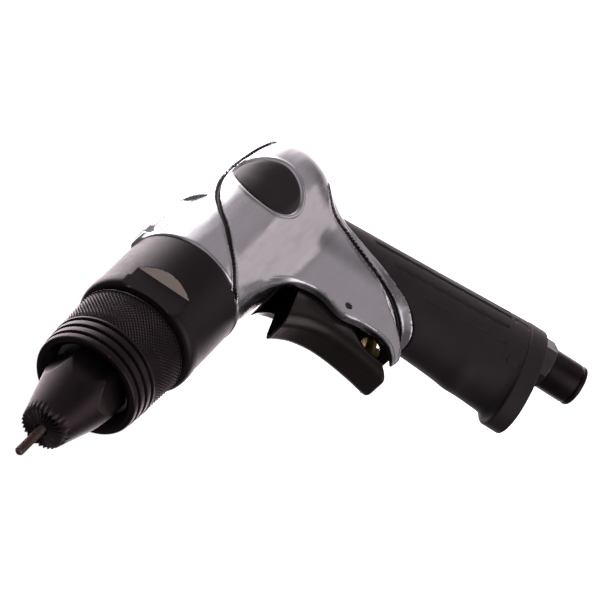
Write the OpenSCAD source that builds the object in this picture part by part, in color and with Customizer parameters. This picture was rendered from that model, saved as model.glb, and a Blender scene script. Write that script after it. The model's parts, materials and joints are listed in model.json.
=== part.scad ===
// Spin-type pneumatic rivet nut tool: pistol grip, reversible vane motor, planetary drive.
// The origin is the centre of the anvil face on the mandrel axis. +X runs back along the
// barrel, +Z is up, and the handle leans back from -Z. All sizes are in millimetres.

/* [Nose] */
// Nominal diameter of the threaded mandrel
mandrel_d = 4; // [3:1:6]
// Length of mandrel that stands out of the anvil face
mandrel_out = 17.5; // [12:0.5:20]
// Diameter of the serrated anvil face
anvil_face_d = 20; // [18:0.5:24]
// Size of the anvil hexagon across its flats
anvil_hex = 31.5; // [30:0.5:32]
// Half angle of the anvil cone
anvil_cone_angle = 15; // [12:1:18]
// Number of teeth on the anvil face
anvil_teeth = 28; // [20:2:32]

/* [Adjusting sleeve] */
// Distance from the anvil face to the front rim of the sleeve
sleeve_front_x = 33.8; // [33:0.1:36]
// Distance from the anvil face to the rear rim of the sleeve
sleeve_rear_x = 70; // [69:0.1:71]
// Diameter of the sleeve at its front rim
sleeve_front_d = 49.8; // [49:0.1:51]
// Diameter of the sleeve at its rear rim
sleeve_rear_d = 54.2; // [54:0.1:56]
// Diameter of the sleeve's open mouth
sleeve_bore_d = 40; // [39:0.5:41]

/* [Barrel] */
// Diameter of the barrel of the aluminium housing
barrel_d = 58; // [58:0.5:60]
// Diameter of the front housing behind its wrench flats
front_d = 57.2; // [57:0.1:57.4]
// Distance from the anvil face to the aluminium housing
casting_front_x = 113.2; // [113:0.1:114]
// Distance from the anvil face to the end of the barrel
barrel_rear_x = 211.5; // [210:0.5:213]
// Wrench size across the two flats of the front housing
wrench_af = 50.4; // [50:0.1:52]

/* [Handle] */
// Angle that the handle leans back from square to the barrel
rake = 17.9; // [16:0.1:20]
// Place on the barrel axis that the handle's centre line starts from
handle_x = 181.8; // [180:0.1:184]
// Distance down the handle from the barrel axis to its base
handle_len = 148; // [146:0.5:150]
// Depth of the handle, front to back, at its base
handle_depth = 55; // [54:0.5:56]
// Width of the handle at its base
handle_width = 39; // [38:0.5:40]
// Distance that the inlet lies behind the handle's centre line
inlet_back = 14.2; // [14:0.1:14.5]

/* [Trigger] */
// Width of the trigger
trigger_w = 21; // [20:0.5:22]
// Distance down the handle from the barrel axis to the trigger pin
pivot_s = 49.9; // [49.5:0.1:50.5]
// Distance that the trigger pin lies in front of the handle's centre line
pivot_f = 34.3; // [34:0.1:34.6]
// Distance down the handle to the forward valve
forward_s = 33; // [32.8:0.1:33.2]
// Distance down the handle to the reverse valve
reverse_s = 72; // [71.8:0.1:72.2]

/* [Gears] */
// Gear module
gear_m = 0.9; // [0.9]
// Teeth on the rotor's sun pinion
sun_teeth = 12; // [12]
// Teeth on each planet gear
planet_teeth = 18; // [18]

/* [Hidden] */
$fn = 96;

eps = 0.01;
mandrel_r = mandrel_d / 2;
barrel_r = barrel_d / 2;
hex_corner_r = anvil_hex / 2 / cos(30);
sleeve_bore_r = sleeve_bore_d / 2;

// Stations along the barrel
shank_x = 40;
shank_r = 11;
shank_len = 16;
mandrel_head_x = 24;
mandrel_head_r = 4;
mandrel_head_len = 12;
carrier_x = 42;
carrier_len = 24;
guide_pin_x = 60;
guide_pin_r = 1.5;
nose_tube_x = 56;
nose_tube_r = 23;
guide_r = 20.1;
carrier_r = 19.7;
snap_x = 66.8;
ring_front_x = 72.5;
flat_front_x = 80;
flat_rear_x = 86;
flat_turn = 16.6;
lock_screw_x = 119.5;
lock_screw_r = 3;
spindle_nose_x = 22;
spindle_r = 7;
spindle_bearing = [7.5, 16, 9];
spindle_bearing_x = 77;
gear_x = 95;
gear_w = 10;
gear_pocket_x = 90;
gear_pocket_r = 25.2;
spigot_r = 26.6;
spigot_len = 10;
front_plate_x = 110;
motor_bore_r = 25.8;
front_bearing = [7.5, 12, 5];
front_bearing_x = 112;
cylinder_x = 124;
cylinder_len = 46;
dowel_y = 23;
dowel_r = 1.2;
rear_plate_x = cylinder_x + cylinder_len;
rear_bearing = [4, 11, 7];
rear_bearing_x = 172;
plate_r = 25.6;
motor_bore_end = 182;
rotor_r = 19.2;
liner_r = 21.5;
eccentricity = 1.9;
vane_count = 5;

// Gears
ring_teeth = sun_teeth + 2 * planet_teeth;
planet_orbit_r = gear_m * (sun_teeth + planet_teeth) / 2;
planet_pin_r = 2.5;
planet_angles = [180, 300, 60];
backlash = 0.14;

// Handle
base_s = 138.5;
taper = 0.08;
core_inset = 3.2;
seam_rear = [-15.5, 30];
seam_front = [22, 88];
seam_angle = atan2(seam_front[1] - seam_rear[1], seam_front[0] - seam_rear[0]);
shroud_w = 32;
cavity_w = 23.6;
inlet_bore_r = 8.2;
inlet_thread_r = 5.72;
inlet_thread_len = 11;
connector_s = handle_len + 9.45;
connector_r = 10.2;
exhaust_y = 9.4;
exhaust_r = 3.6;

// Valves
valve_r = 2.5;
valve_bush_r = 5;
valve_face_f = 25;
valve_bore_depth = 12.3;
pad_gap = 0.3;
forward_pad_f = 36;
reverse_pad_f = 43.2;

// Turns +Z to +X, so that a cylinder lies along the barrel from station x
module along_x(x = 0) {
    translate([x, 0, 0]) rotate([0, 90, 0]) children();
}

// Handle frame: +Z runs down the handle, +X points to the front, and Y is the tool's Y
module in_handle() {
    translate([handle_x, 0, 0]) rotate([0, 180 - rake, 0]) children();
}

// Frame of a valve: +Z points out of the handle's front, square to the handle
module in_valve(s) {
    in_handle() translate([0, 0, s]) rotate([0, 90, 0]) children();
}

// Hollow cylinder
module tube(outer, inner, h) {
    difference() {
        cylinder(r = outer, h = h);
        translate([0, 0, -1]) cylinder(r = inner, h = h + 2);
    }
}

// Plain ring with chamfered outer edges
module ring_disc(outer, inner, h, chamfer) {
    rotate_extrude()
        polygon([
            [inner, 0], [outer - chamfer, 0], [outer, chamfer],
            [outer, h - chamfer], [outer - chamfer, h], [inner, h]
        ]);
}

// Outline of a gear: straight-sided teeth, grown or thinned by "play" at the flanks
function gear_points(teeth, add, ded, play) =
    let (pitch_r = gear_m * teeth / 2, step = 360 / teeth)
    let (half = step / 4 - play / 2 / pitch_r * 180 / PI)
    let (slope = 0.36 * gear_m / pitch_r * 180 / PI)
    [for (k = [0 : teeth - 1]) for (c = [
        [pitch_r - ded, -half - slope], [pitch_r + add, -half + slope],
        [pitch_r + add, half - slope], [pitch_r - ded, half + slope]
    ]) [c[0] * cos(k * step + c[1]), c[0] * sin(k * step + c[1])]];

module gear(teeth, h, turn) {
    rotate(turn) linear_extrude(h)
        polygon(gear_points(teeth, 0.85 * gear_m, 1.15 * gear_m, backlash));
}

// Ball bearing parts: outer race with its balls, and inner race
module outer_race(size) {
    ball_r = (size[1] - size[0]) * 0.27;
    mid_r = (size[0] + size[1]) / 2;
    ring_disc(size[1], mid_r + ball_r * 0.55, size[2], 0.3);
    for (k = [0 : 7])
        rotate(k * 45) translate([mid_r, 0, size[2] / 2]) sphere(r = ball_r * 0.5, $fn = 24);
}

module inner_race(size) {
    ball_r = (size[1] - size[0]) * 0.27;
    mid_r = (size[0] + size[1]) / 2;
    tube(mid_r - ball_r * 0.55, size[0], size[2]);
}

// One elliptical slice of the handle at distance s, grown by "grow"
module handle_slice(s, grow) {
    depth = handle_depth / 2 - (base_s - s) * taper + grow;
    width = handle_width / 2 - (base_s - s) * 0.02 + grow;
    translate([0, 0, s]) scale([depth / width, 1, 1])
        linear_extrude(eps) circle(r = width, $fn = 64);
}

// Tapered handle between two distances
module handle_body(s0, s1, grow) {
    hull() {
        handle_slice(s0, grow);
        handle_slice(s1 - eps, grow);
    }
}

// Half space on the barrel side of the slanting seam between casting and grip
module above_seam(gap) {
    translate([seam_rear[0], 0, seam_rear[1]]) rotate([0, -seam_angle, 0])
        translate([-100, -60, -200 - gap]) cube([240, 120, 200]);
}

// ---- Nose ----

module mandrel() {
    tip = 0.8;
    thread_len = mandrel_out - tip - 0.5;
    color([0.35, 0.31, 0.28]) along_x(-mandrel_out) {
        cylinder(r1 = mandrel_r - tip, r2 = mandrel_r, h = tip);
        translate([0, 0, tip]) cylinder(r = mandrel_r, h = thread_len);
        translate([0, 0, tip + thread_len])
            cylinder(r = mandrel_r - 0.4, h = mandrel_out + mandrel_head_x - thread_len);
        translate([0, 0, mandrel_out + mandrel_head_x])
            cylinder(r = mandrel_head_r, h = mandrel_head_len, $fn = 6);
    }
}

module anvil() {
    face_r = anvil_face_d / 2;
    corner_r = hex_corner_r - 0.3;
    cone_end_x = (corner_r - face_r) / tan(anvil_cone_angle);
    notch_inner_r = 0.83 * face_r;
    notch_outer_r = 1.2 * face_r;
    notch_half_w = 0.53 * (notch_outer_r - notch_inner_r);
    color([0.12, 0.12, 0.13]) difference() {
        union() {
            intersection() {
                along_x() rotate_extrude() polygon([
                    [0, 0], [face_r, 0], [corner_r, cone_end_x], [corner_r, shank_x], [0, shank_x]
                ]);
                along_x(-1) rotate(15) cylinder(r = hex_corner_r, h = shank_x + 2, $fn = 6);
            }
            along_x(shank_x - 1) cylinder(r = shank_r, h = shank_len + 1);
        }
        along_x(-1) cylinder(r = mandrel_r + 0.2, h = 40);
        along_x(18) cylinder(r = spindle_r + 0.5, h = 40);
        for (k = [0 : anvil_teeth - 1]) along_x(-1) rotate(k * 360 / anvil_teeth)
            linear_extrude(2.6) polygon([
                [notch_inner_r, 0], [notch_outer_r, notch_half_w], [notch_outer_r, -notch_half_w]
            ]);
    }
}

module anvil_carrier() {
    color([0.4, 0.4, 0.42]) difference() {
        along_x(carrier_x) ring_disc(carrier_r, shank_r + 0.1, carrier_len, 0.6);
        for (side = [-1, 1])
            translate([guide_pin_x, side * 12, 0]) rotate([-90 * side, 0, 0])
                cylinder(r = guide_pin_r, h = 20);
    }
}

module carrier_guide_pins() {
    color([0.7, 0.7, 0.72]) for (side = [-1, 1])
        translate([guide_pin_x, side * 16, 0]) rotate([-90 * side, 0, 0])
            cylinder(r = guide_pin_r, h = 6.4);
}

module adjusting_sleeve() {
    len = sleeve_rear_x - sleeve_front_x;
    r0 = sleeve_front_d / 2;
    r1 = sleeve_rear_d / 2;
    groove_x = [4.1, 8.8, 13.4];
    inner_r = nose_tube_r + 0.35;
    stop_x = nose_tube_x - 1 - sleeve_front_x;
    slot_x = [snap_x - 0.5 - sleeve_front_x, snap_x + 1.7 - sleeve_front_x];
    color([0.1, 0.1, 0.1]) along_x(sleeve_front_x) rotate_extrude()
        polygon(concat(
            [[sleeve_bore_r, 2.2], [sleeve_bore_r + 2.4, 0], [r0 - 0.6, 0], [r0, 0.6]],
            [for (x = groove_x) for (c = [[-0.6, 0], [0, -0.8], [0.6, 0.25]])
                [r0 + (r1 - r0) * x / len + c[1], x + c[0]]],
            [
                [r1, len - 0.8], [r1 - 0.8, len], [inner_r, len],
                [inner_r, slot_x[1]], [inner_r + 1.35, slot_x[1]],
                [inner_r + 1.35, slot_x[0]], [inner_r, slot_x[0]],
                [inner_r, stop_x], [sleeve_bore_r, stop_x]
            ]
        ));
}

module sleeve_retaining_ring() {
    color([0.5, 0.5, 0.5]) along_x(snap_x) difference() {
        tube(nose_tube_r + 1.3, nose_tube_r - 0.8, 1.2);
        translate([nose_tube_r - 2, -2, -1]) cube([6, 4, 4]);
    }
}

// ---- Front housing and gearbox ----

module front_housing() {
    body_len = casting_front_x - ring_front_x;
    ring_r = barrel_r + 0.1;
    front_r = front_d / 2;
    round_r = 4;
    color([0.06, 0.06, 0.06]) difference() {
        union() {
            along_x(nose_tube_x) cylinder(r = nose_tube_r, h = 20);
            along_x(ring_front_x) rotate_extrude() polygon(concat(
                [[0, 0]],
                [for (a = [0 : 15 : 90])
                    [ring_r - round_r + round_r * sin(a), round_r - round_r * cos(a)]],
                [
                    [ring_r, flat_front_x - ring_front_x], [front_r, flat_front_x - ring_front_x],
                    [front_r, body_len], [0, body_len]
                ]
            ));
            along_x(casting_front_x - eps) cylinder(r = spigot_r, h = spigot_len);
        }
        along_x(nose_tube_x - 1) cylinder(r = guide_r, h = 15);
        along_x(nose_tube_x) cylinder(r = spindle_r + 3, h = 40);
        along_x(spindle_bearing_x) cylinder(r = spindle_bearing[1], h = 40);
        along_x(gear_pocket_x) cylinder(r = gear_pocket_r, h = 60);
        along_x(snap_x - 0.1) tube(nose_tube_r + 1, nose_tube_r - 0.9, 1.4);
        for (side = [-1, 1]) {
            translate([nose_tube_x - 1, side * 22 - 3, -1.8]) cube([10, 6, 3.6]);
            rotate([-flat_turn, 0, 0])
                translate([flat_front_x, side * (wrench_af / 2 + 10) - 10, -30])
                    cube([flat_rear_x - flat_front_x, 20, 60]);
        }
    }
}

module housing_o_ring() {
    color([0.05, 0.05, 0.05]) along_x(casting_front_x + spigot_len + 0.2)
        tube(spigot_r - 0.1, motor_bore_r + 0.05, 1);
}

module spindle_seal() {
    color([0.08, 0.08, 0.08]) along_x(spindle_bearing_x - 4) tube(spindle_r + 2.9, spindle_r + 0.1, 3);
}

// Places its children on the axes of the three planet gears, from station x
module at_planets(x) {
    along_x(x) for (at = planet_angles) rotate(at) translate([planet_orbit_r, 0, 0]) children();
}

module spindle() {
    socket_r = mandrel_head_r + 0.05;
    socket_end = mandrel_head_x + mandrel_head_len + 0.1;
    color([0.55, 0.55, 0.57]) difference() {
        union() {
            along_x(spindle_nose_x) cylinder(r = spindle_r, h = 70);
            along_x(spindle_bearing_x) cylinder(r = spindle_bearing[0], h = 14);
            along_x(spindle_bearing_x + spindle_bearing[2]) cylinder(r = 9.2, h = 4.5);
            along_x(gear_x - 4.4) cylinder(r = 18.6, h = 4);
        }
        along_x(spindle_nose_x - 1)
            cylinder(r = socket_r, h = socket_end - spindle_nose_x + 1, $fn = 6);
        at_planets(gear_x - 5) cylinder(r = planet_pin_r, h = 6);
    }
}

module spindle_bearing_outer() {
    color([0.75, 0.75, 0.77]) along_x(spindle_bearing_x) outer_race(spindle_bearing);
}

module spindle_bearing_inner() {
    color([0.75, 0.75, 0.77]) along_x(spindle_bearing_x) inner_race(spindle_bearing);
}

module planet_pins() {
    color([0.7, 0.7, 0.72]) at_planets(gear_x - 4.4)
        cylinder(r = planet_pin_r, h = gear_w + 4.6);
}

// Planet gear at orbit angle "at": a tooth points straight out into a space of the ring gear
module planet_gear(at) {
    color([0.6, 0.6, 0.6]) along_x(gear_x) rotate(at) translate([planet_orbit_r, 0, 0])
        difference() {
            gear(planet_teeth, gear_w, 0);
            translate([0, 0, -1]) cylinder(r = planet_pin_r + 0.05, h = gear_w + 2);
        }
}

module planet_gear_1() {
    planet_gear(planet_angles[0]);
}

module planet_gear_2() {
    planet_gear(planet_angles[1]);
}

module planet_gear_3() {
    planet_gear(planet_angles[2]);
}

module ring_gear() {
    color([0.55, 0.55, 0.55]) along_x(gear_x - 0.5) difference() {
        ring_disc(gear_pocket_r - 0.1, gear_m * ring_teeth / 2 - 2, gear_w + 1.5, 0.4);
        translate([0, 0, -1]) linear_extrude(gear_w + 4)
            polygon(gear_points(ring_teeth, 1.15 * gear_m, 0.85 * gear_m, -backlash));
        translate([0, 0, -1]) cylinder(r = gear_m * (ring_teeth / 2 - 0.85) + 0.03, h = gear_w + 4);
    }
}

module thrust_washer() {
    color([0.72, 0.55, 0.3]) along_x(gear_x + gear_w + 1.2) tube(gear_pocket_r - 0.2, 9, 1.6);
}

// ---- Motor ----

module front_end_plate() {
    color([0.65, 0.65, 0.67]) along_x(front_plate_x) difference() {
        union() {
            cylinder(r = gear_pocket_r - 0.2, h = 4);
            translate([0, 0, 3]) cylinder(r = gear_pocket_r - 0.1, h = cylinder_x - front_plate_x - 3);
        }
        translate([0, 0, -1]) cylinder(r = front_bearing[0] + 0.6, h = 30);
        translate([0, 0, front_bearing_x - front_plate_x - 2 - eps])
            cylinder(r = front_bearing[1], h = front_bearing[2] + 2.1);
        translate([0, dowel_y, cylinder_x - front_plate_x - 5]) cylinder(r = dowel_r + 0.1, h = 30);
    }
}

module motor_cylinder() {
    color([0.45, 0.45, 0.47]) along_x(cylinder_x) difference() {
        cylinder(r = plate_r, h = cylinder_len);
        translate([eccentricity, 0, -1]) cylinder(r = liner_r, h = cylinder_len + 2);
        for (z = [10 : 7.5 : cylinder_len - 8]) translate([26, 0, z])
            rotate([0, -90, 0]) cylinder(r = 2, h = 8, $fn = 24);
        translate([0, dowel_y, -1]) cylinder(r = dowel_r + 0.1, h = 6);
    }
}

module rear_end_plate() {
    color([0.65, 0.65, 0.67]) along_x(rear_plate_x) difference() {
        cylinder(r = plate_r, h = 9.5);
        translate([0, 0, -1]) cylinder(r = rear_bearing[0] + 0.6, h = 20);
        translate([0, 0, rear_bearing_x - rear_plate_x]) cylinder(r = rear_bearing[1], h = 20);
    }
}

module motor_dowel() {
    color([0.7, 0.7, 0.7]) along_x(cylinder_x - 4.5) translate([0, dowel_y, 0])
        cylinder(r = dowel_r, h = 9);
}

module rotor() {
    slot_w = 2.4;
    slot_depth = 9;
    color([0.6, 0.6, 0.62]) difference() {
        union() {
            along_x(gear_x + 0.4) gear(sun_teeth, gear_w, 180 / sun_teeth);
            along_x(gear_x + gear_w) cylinder(r = gear_m * (sun_teeth / 2 - 1.15), h = 8);
            along_x(gear_x + gear_w + 5)
                cylinder(r = front_bearing[0], h = cylinder_x - gear_x - gear_w - 4);
            along_x(cylinder_x + 0.3) cylinder(r = rotor_r, h = cylinder_len - 0.6);
            along_x(rear_plate_x - 1) cylinder(r = rear_bearing[0], h = 10.3);
        }
        for (k = [0 : vane_count - 1]) rotate([k * 360 / vane_count, 0, 0])
            translate([cylinder_x, -slot_w / 2, rotor_r - slot_depth])
                cube([cylinder_len, slot_w, slot_depth + 5]);
    }
}

module rotor_vanes() {
    vane_w = 2.2;
    color([0.45, 0.3, 0.15]) for (k = [0 : vane_count - 1]) rotate([k * 360 / vane_count, 0, 0])
        translate([cylinder_x + 0.4, -vane_w / 2, rotor_r - 8.8])
            cube([cylinder_len - 0.8, vane_w, 8.6]);
}

module front_bearing_outer() {
    color([0.75, 0.75, 0.77]) along_x(front_bearing_x) outer_race(front_bearing);
}

module front_bearing_inner() {
    color([0.75, 0.75, 0.77]) along_x(front_bearing_x) inner_race(front_bearing);
}

module rear_bearing_outer() {
    color([0.75, 0.75, 0.77]) along_x(rear_bearing_x) outer_race(rear_bearing);
}

module rear_bearing_inner() {
    color([0.75, 0.75, 0.77]) along_x(rear_bearing_x) inner_race(rear_bearing);
}

// ---- Motor housing ----

// Solid barrel with its rounded rear end
module barrel_solid() {
    dome_x = 187;
    dome_start = dome_x - casting_front_x;
    dome_len = barrel_rear_x - dome_x;
    flat_r = 18;
    along_x(casting_front_x) rotate_extrude() polygon(concat(
        [[0, 0], [barrel_r, 0], [barrel_r, dome_start]],
        [for (a = [10 : 10 : 90])
            [flat_r + (barrel_r - flat_r) * cos(a), dome_start + dome_len * sin(a)]],
        [[0, dome_start + dome_len]]
    ));
}

// Side outline of the cheeks that carry the trigger, as [x, z] points
function shroud_outline() = [
    [130, -16], [137, -24], [144, -28], [150, -31.5], [155, -37], [158.3, -44],
    [158.8, -50], [157.6, -57.2], [162.4, -66.6], [166.3, -76.6], [167, -83],
    [165.5, -88], [167.5, -91], [173, -92.5], [190, -93], [206, -60], [200, -16]
];

module motor_housing() {
    color([0.75, 0.75, 0.77]) difference() {
        union() {
            barrel_solid();
            intersection() {
                union() {
                    in_handle() handle_body(8, 94, 0.6);
                    translate([0, shroud_w / 2, 0]) rotate([90, 0, 0]) linear_extrude(shroud_w)
                        polygon(shroud_outline());
                }
                in_handle() above_seam(0);
            }
            in_handle() handle_body(20, base_s, -core_inset);
            translate([lock_screw_x, 0, 24]) cylinder(r = lock_screw_r + 2.5, h = 6.4);
        }
        along_x(casting_front_x - 1) cylinder(r = spigot_r, h = spigot_len + 2.4);
        along_x(casting_front_x) cylinder(r = motor_bore_r, h = motor_bore_end - casting_front_x);
        along_x(motor_bore_end - 1) cylinder(r = 18, h = 24);
        translate([0, cavity_w / 2, 0]) rotate([90, 0, 0]) linear_extrude(cavity_w)
            polygon([[130, -30.5], [164, -30.5], [169, -50], [174, -78], [173, -87.5], [140, -87.5]]);
        for (s = [forward_s, reverse_s]) in_valve(s) translate([0, 0, -valve_bore_depth])
            cylinder(r = valve_bush_r, h = valve_face_f + 30);
        in_handle() translate([-inlet_back, 0, 42]) cylinder(r = 5, h = 120);
        in_handle() translate([-inlet_back, 0, 118]) cylinder(r = inlet_bore_r, h = 40);
        for (side = [-1, 1]) in_handle() translate([4, side * exhaust_y, 24])
            cylinder(r = exhaust_r, h = 140);
        in_handle() translate([pivot_f, -30, pivot_s]) rotate([-90, 0, 0])
            cylinder(r = 2, h = 60);
        translate([lock_screw_x, 0, 20]) cylinder(r = lock_screw_r, h = 20);
    }
}

module lock_screw() {
    color([0.08, 0.08, 0.08]) translate([lock_screw_x, 0, spigot_r]) difference() {
        cylinder(r = lock_screw_r - 0.05, h = 4);
        translate([0, 0, 2]) cylinder(r = 1.5, h = 4, $fn = 6);
    }
}

// Egg-shaped name plate, without any marking, that follows the barrel
module badge(side) {
    intersection() {
        along_x(150) tube(barrel_r + 0.35, barrel_r, 50);
        translate([0, side * 20, 0]) rotate([90, 0, 0]) linear_extrude(30, center = true)
            hull() {
                translate([167.8, 11]) circle(r = 8.8, $fn = 32);
                translate([175.7, 11]) circle(r = 10.3, $fn = 32);
                translate([168.3, -0.4]) circle(r = 9.3, $fn = 32);
                translate([176.2, 0]) circle(r = 10.8, $fn = 32);
            }
    }
}

module badge_left() {
    color([0.03, 0.03, 0.03]) badge(-1);
}

module badge_right() {
    color([0.03, 0.03, 0.03]) badge(1);
}

// ---- Handle ----

module grip_sleeve() {
    color([0.08, 0.08, 0.08]) difference() {
        in_handle() difference() {
            handle_body(24, base_s, 0);
            handle_body(10, base_s + 2, 0.2 - core_inset);
            above_seam(-0.3);
        }
        along_x(handle_x) cylinder(r = barrel_r + 0.3, h = 60);
    }
}

module grip_end_cap() {
    color([0.06, 0.06, 0.06]) in_handle() difference() {
        union() {
            handle_body(base_s + 0.2, handle_len, 0.3);
            hull() {
                handle_slice(base_s + 0.2, 0.3);
                translate([5.5, 0, 0]) handle_slice(base_s + 1.5, 0.3);
                translate([5.5, 0, 0]) handle_slice(handle_len - 1, -0.2);
            }
        }
        translate([-inlet_back, 0, base_s - 10]) cylinder(r = 8.4, h = 40);
        translate([8, 0, base_s - 10]) linear_extrude(14.5) scale([0.62, 1]) circle(r = 15.5);
        for (k = [-1 : 1]) translate([13, k * 8.5, base_s]) cylinder(r = 2.4, h = 20);
    }
}

module exhaust_silencer() {
    color([0.6, 0.58, 0.5]) in_handle() translate([8, 0, base_s + 0.4])
        linear_extrude(3.9) scale([0.6, 1]) circle(r = 15);
}

module inlet_bushing() {
    color([0.3, 0.3, 0.3]) in_handle() translate([-inlet_back, 0, 0]) difference() {
        union() {
            translate([0, 0, 120]) cylinder(r = 8.15, h = handle_len - 119.8);
            translate([0, 0, handle_len + 0.2]) cylinder(r = 12.6, h = 9.2, $fn = 6);
            translate([0, 0, handle_len + 9]) cylinder(r = 7.6, h = 6);
        }
        translate([0, 0, 110]) cylinder(r = 4.5, h = 60);
    }
}

module inlet_o_ring() {
    color([0.05, 0.05, 0.05]) in_handle() translate([-inlet_back, 0, connector_s])
        tube(9, 7.7, 1);
}

module inlet_screen() {
    color([0.6, 0.6, 0.55]) in_handle() translate([-inlet_back, 0, connector_s + 5.6])
        difference() {
            cylinder(r = 5.6, h = 0.6);
            for (k = [0 : 5]) rotate(k * 60) translate([3.3, 0, -1]) cylinder(r = 1, h = 3, $fn = 16);
            translate([0, 0, -1]) cylinder(r = 1, h = 3, $fn = 16);
        }
}

module inlet_connector() {
    start = connector_s;
    end = handle_len + 28;
    outer = connector_r;
    groove = 0.6;
    seat = end - 0.9 - inlet_thread_len;
    color([0.05, 0.05, 0.05]) in_handle() translate([-inlet_back, 0, 0]) rotate_extrude()
        polygon([
            [9.05, start], [outer, start], [outer, end - 3.6], [outer - groove, end - 3.2],
            [outer - groove, end - 2.6], [outer, end - 2.2], [outer, end - 0.7],
            [outer - 0.7, end], [inlet_thread_r + 0.9, end], [inlet_thread_r, end - 0.9],
            [inlet_thread_r, seat], [7.65, seat], [7.65, start + 1.1], [9.05, start + 1.1]
        ]);
}

// ---- Trigger and valves ----

// Side outline of the rocker, as [towards the front, down the handle] from the barrel axis
function trigger_outline() = [
    [56, 28], [53, 33], [50.6, 39.5], [49.6, 48.5], [50.6, 58.5], [52.4, 69], [54.4, 77],
    [53.4, 80], [51, 79.5], [reverse_pad_f, reverse_s + 3.2], [reverse_pad_f, reverse_s - 3.2],
    [38, 62], [32.5, 57], [30, pivot_s], [32.5, 43], [forward_pad_f, forward_s + 3.2],
    [forward_pad_f, forward_s - 3.2], [39, 27]
];

module trigger() {
    color([0.05, 0.05, 0.05]) in_handle() difference() {
        rotate([90, 0, 0]) linear_extrude(trigger_w, center = true) polygon(trigger_outline());
        translate([pivot_f, -20, pivot_s]) rotate([-90, 0, 0]) cylinder(r = 2.06, h = 40);
    }
}

module trigger_pin() {
    color([0.15, 0.15, 0.15]) in_handle() translate([pivot_f, -shroud_w / 2 + 0.4, pivot_s])
        rotate([-90, 0, 0]) cylinder(r = 2, h = shroud_w - 0.8);
}

// Valve spool with the collar that its spring pushes on; the stem ends just short of pad_f
module valve(s, pad_f) {
    color([0.75, 0.6, 0.3]) in_valve(s) {
        translate([0, 0, -8.4]) cylinder(r = valve_r, h = pad_f - pad_gap + 8.4);
        translate([0, 0, -6.4]) cylinder(r = 3.9, h = 1.2);
    }
}

module forward_valve() {
    valve(forward_s, forward_pad_f);
}

module reverse_valve() {
    valve(reverse_s, reverse_pad_f);
}

module valve_bushing(s) {
    color([0.7, 0.55, 0.28]) in_valve(s) translate([0, 0, 1])
        tube(valve_bush_r - 0.02, valve_r + 0.05, valve_face_f);
}

module forward_valve_bushing() {
    valve_bushing(forward_s);
}

module reverse_valve_bushing() {
    valve_bushing(reverse_s);
}

// Coil spring: a round wire swept along a helix
module valve_spring(s) {
    turns = 3;
    steps = 18;
    sides = 6;
    coil_r = 3.65;
    wire_r = 0.4;
    rise = 4.6;
    rings = turns * steps;
    points = [for (k = [0 : rings]) for (j = [0 : sides - 1])
        let (turn = 360 * k / steps, around = 360 * j / sides, r = coil_r + wire_r * cos(around))
        [r * cos(turn), r * sin(turn), rise * k / rings + wire_r * sin(around)]];
    walls = [for (k = [0 : rings - 1]) for (j = [0 : sides - 1])
        let (n = (j + 1) % sides)
        [k * sides + j, k * sides + n, (k + 1) * sides + n, (k + 1) * sides + j]];
    caps = [[for (j = [sides - 1 : -1 : 0]) j], [for (j = [0 : sides - 1]) rings * sides + j]];
    color([0.7, 0.7, 0.72]) in_valve(s) translate([0, 0, 0.8 - valve_bore_depth])
        polyhedron(points, concat(walls, caps));
}

module forward_valve_spring() {
    valve_spring(forward_s);
}

module reverse_valve_spring() {
    valve_spring(reverse_s);
}

module valve_o_rings() {
    color([0.05, 0.05, 0.05]) for (s = [forward_s, reverse_s])
        in_valve(s) translate([0, 0, -0.3]) tube(valve_bush_r - 0.05, valve_r + 0.3, 1.2);
}

mandrel();
anvil();
anvil_carrier();
carrier_guide_pins();
adjusting_sleeve();
sleeve_retaining_ring();
front_housing();
housing_o_ring();
spindle_seal();
spindle();
spindle_bearing_outer();
spindle_bearing_inner();
planet_pins();
planet_gear_1();
planet_gear_2();
planet_gear_3();
ring_gear();
thrust_washer();
front_end_plate();
motor_cylinder();
rear_end_plate();
motor_dowel();
rotor();
rotor_vanes();
front_bearing_outer();
front_bearing_inner();
rear_bearing_outer();
rear_bearing_inner();
motor_housing();
lock_screw();
badge_left();
badge_right();
grip_sleeve();
grip_end_cap();
exhaust_silencer();
inlet_bushing();
inlet_o_ring();
inlet_screen();
inlet_connector();
trigger();
trigger_pin();
forward_valve();
reverse_valve();
forward_valve_bushing();
reverse_valve_bushing();
forward_valve_spring();
reverse_valve_spring();
valve_o_rings();
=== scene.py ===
"""Looks of the pneumatic rivet nut tool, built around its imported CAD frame.

Lengths are in millimetres until add_mesh turns them into metres.
"""
import json
import math

import bmesh
import bpy
import numpy as np
from mathutils import Matrix, Vector


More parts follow.
